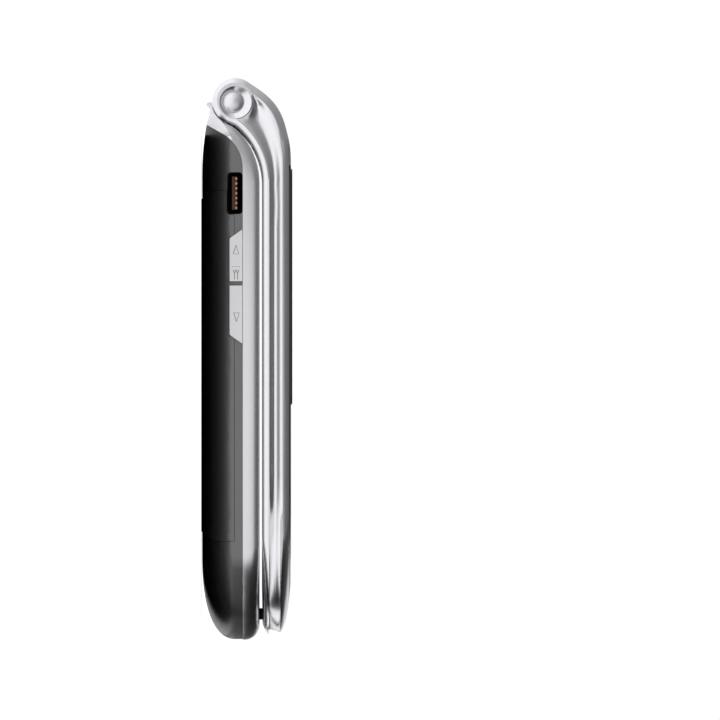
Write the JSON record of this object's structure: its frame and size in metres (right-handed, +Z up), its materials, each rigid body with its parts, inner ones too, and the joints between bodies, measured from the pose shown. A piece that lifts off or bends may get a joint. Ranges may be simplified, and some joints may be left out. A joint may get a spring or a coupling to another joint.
{
  "type": "flip phone",
  "caption": "Closed clamshell mobile phone with a round side hinge, scooped silver lid, black shell, volume keys, connector port and headset jack.",
  "frame": {"origin": "centre of the closed phone's footprint, on the table it lies on", "axes": "+X across to the headset jack, +Y along to the hinge, +Z up through the lid's front"},
  "size_m": [0.0503, 0.1, 0.0162],
  "materials": {
    "black_shell": "moulded black plastic with a fine satin grain",
    "silver_case": "moulded plastic with a silver metallic lacquer",
    "silver_cap": "moulded cap with a brighter silver lacquer",
    "silver_key": "moulded keys with a silver metallic lacquer",
    "black_front": "moulded black plastic, satin gloss",
    "window": "clear cast acrylic with a dark printed back",
    "screen": "flat glass screen, unlit",
    "circuit_board": "glass-fibre board with green solder mask",
    "plated_steel": "pressed and tin-plated steel",
    "screw_steel": "turned and zinc-plated steel",
    "gold_contact": "gold-flashed spring bronze",
    "connector_plastic": "moulded black nylon",
    "tongue_plastic": "moulded red-brown nylon",
    "dome_film": "clear polyester film over pressed steel domes",
    "battery_wrap": "drawn aluminium can in a dark grey printed wrap",
    "bush_plastic": "turned acetal",
    "flex_film": "amber polyimide film with copper tracks",
    "bumper_rubber": "moulded black rubber",
    "keypad_key": "moulded dark keys with pale printed marks",
    "green_key": "moulded key tinted green",
    "red_key": "moulded key tinted red"
  },
  "bodies": {
    "base": {"rear_housing": "black_shell", "base_bezel": "silver_case", "keypad_panel": "black_front", "main_board": "circuit_board", "shield_cans": "plated_steel", "sim_holder": "plated_steel", "dome_sheet": "dome_film", "battery": "battery_wrap", "battery_contacts": "connector_plastic", "port_shell": "plated_steel", "port_tongue": "tongue_plastic", "port_contacts": "gold_contact", "headset_jack": "connector_plastic", "jack_contacts": "gold_contact", "side_switches": "connector_plastic", "vibration_motor": "plated_steel", "microphone": "plated_steel", "loudspeaker": "connector_plastic", "antenna": "connector_plastic", "base_screws": "screw_steel", "hinge_shaft": "screw_steel", "hinge_bush": "bush_plastic", "base_flex": "flex_film"},
    "battery_cover": {"battery_cover": "black_shell"},
    "lid": {"lid_shell": "silver_case", "front_panel": "black_front", "outer_window": "window", "outer_display": "screen", "lid_inner_frame": "black_front", "inner_window": "window", "main_display": "screen", "lid_board": "circuit_board", "earpiece": "connector_plastic", "lid_bumpers": "bumper_rubber", "lid_screws": "screw_steel", "hinge_can": "plated_steel", "hinge_cap_left": "silver_cap", "hinge_cap_right": "silver_cap", "display_flex": "flex_film"},
    "key_1": {"key_1": "keypad_key"},
    "key_2": {"key_2": "keypad_key"},
    "key_3": {"key_3": "keypad_key"},
    "key_4": {"key_4": "keypad_key"},
    "key_5": {"key_5": "keypad_key"},
    "key_6": {"key_6": "keypad_key"},
    "key_7": {"key_7": "keypad_key"},
    "key_8": {"key_8": "keypad_key"},
    "key_9": {"key_9": "keypad_key"},
    "key_star": {"key_star": "keypad_key"},
    "key_0": {"key_0": "keypad_key"},
    "key_hash": {"key_hash": "keypad_key"},
    "soft_key_left": {"soft_key_left": "keypad_key"},
    "soft_key_right": {"soft_key_right": "keypad_key"},
    "call_key": {"call_key": "green_key"},
    "end_key": {"end_key": "red_key"},
    "clear_key": {"clear_key": "keypad_key"},
    "nav_ok_key": {"nav_ok_key": "silver_key"},
    "volume_up_key": {"volume_up_key": "silver_key"},
    "volume_down_key": {"volume_down_key": "silver_key"},
    "nav_ring": {"nav_ring": "silver_key"}
  },
  "joints": [
    {"name": "lid_hinge", "type": "hinge", "parent": "base", "child": "lid", "pos_m": [0, 0.04595, 0.00605], "axis": [-1, 0, 0], "range_deg": [0, 150]},
    {"name": "cover_release", "type": "slide", "parent": "base", "child": "battery_cover", "axis": [0, 0, -1], "range_m": [0, 0.008]},
    {"name": "key_1_press", "type": "slide", "parent": "base", "child": "key_1", "axis": [0, 0, -1], "range_m": [0, 0.00025], "stiffness_N_per_m": 1500},
    {"name": "key_2_press", "type": "slide", "parent": "base", "child": "key_2", "axis": [0, 0, -1], "range_m": [0, 0.00025], "stiffness_N_per_m": 1500},
    {"name": "key_3_press", "type": "slide", "parent": "base", "child": "key_3", "axis": [0, 0, -1], "range_m": [0, 0.00025], "stiffness_N_per_m": 1500},
    {"name": "key_4_press", "type": "slide", "parent": "base", "child": "key_4", "axis": [0, 0, -1], "range_m": [0, 0.00025], "stiffness_N_per_m": 1500},
    {"name": "key_5_press", "type": "slide", "parent": "base", "child": "key_5", "axis": [0, 0, -1], "range_m": [0, 0.00025], "stiffness_N_per_m": 1500},
    {"name": "key_6_press", "type": "slide", "parent": "base", "child": "key_6", "axis": [0, 0, -1], "range_m": [0, 0.00025], "stiffness_N_per_m": 1500},
    {"name": "key_7_press", "type": "slide", "parent": "base", "child": "key_7", "axis": [0, 0, -1], "range_m": [0, 0.00025], "stiffness_N_per_m": 1500},
    {"name": "key_8_press", "type": "slide", "parent": "base", "child": "key_8", "axis": [0, 0, -1], "range_m": [0, 0.00025], "stiffness_N_per_m": 1500},
    {"name": "key_9_press", "type": "slide", "parent": "base", "child": "key_9", "axis": [0, 0, -1], "range_m": [0, 0.00025], "stiffness_N_per_m": 1500},
    {"name": "key_star_press", "type": "slide", "parent": "base", "child": "key_star", "axis": [0, 0, -1], "range_m": [0, 0.00025], "stiffness_N_per_m": 1500},
    {"name": "key_0_press", "type": "slide", "parent": "base", "child": "key_0", "axis": [0, 0, -1], "range_m": [0, 0.00025], "stiffness_N_per_m": 1500},
    {"name": "key_hash_press", "type": "slide", "parent": "base", "child": "key_hash", "axis": [0, 0, -1], "range_m": [0, 0.00025], "stiffness_N_per_m": 1500},
    {"name": "soft_key_left_press", "type": "slide", "parent": "base", "child": "soft_key_left", "axis": [0, 0, -1], "range_m": [0, 0.00025], "stiffness_N_per_m": 1500},
    {"name": "soft_key_right_press", "type": "slide", "parent": "base", "child": "soft_key_right", "axis": [0, 0, -1], "range_m": [0, 0.00025], "stiffness_N_per_m": 1500},
    {"name": "call_key_press", "type": "slide", "parent": "base", "child": "call_key", "axis": [0, 0, -1], "range_m": [0, 0.00025], "stiffness_N_per_m": 1500},
    {"name": "end_key_press", "type": "slide", "parent": "base", "child": "end_key", "axis": [0, 0, -1], "range_m": [0, 0.00025], "stiffness_N_per_m": 1500},
    {"name": "clear_key_press", "type": "slide", "parent": "base", "child": "clear_key", "axis": [0, 0, -1], "range_m": [0, 0.00025], "stiffness_N_per_m": 1500},
    {"name": "nav_ok_key_press", "type": "slide", "parent": "base", "child": "nav_ok_key", "axis": [0, 0, -1], "range_m": [0, 0.00025], "stiffness_N_per_m": 1500},
    {"name": "volume_up_key_press", "type": "slide", "parent": "base", "child": "volume_up_key", "axis": [1, 0, 0], "range_m": [0, 0.00025], "stiffness_N_per_m": 1500},
    {"name": "volume_down_key_press", "type": "slide", "parent": "base", "child": "volume_down_key", "axis": [1, 0, 0], "range_m": [0, 0.00025], "stiffness_N_per_m": 1500},
    {"name": "nav_ring_tilt", "type": "hinge", "parent": "base", "child": "nav_ring", "pos_m": [0, 0.0182, 0.0087], "axis": [1, 0, 0], "range_deg": [-1.5, 1.5], "stiffness_Nm_per_rad": 0.05}
  ]
}
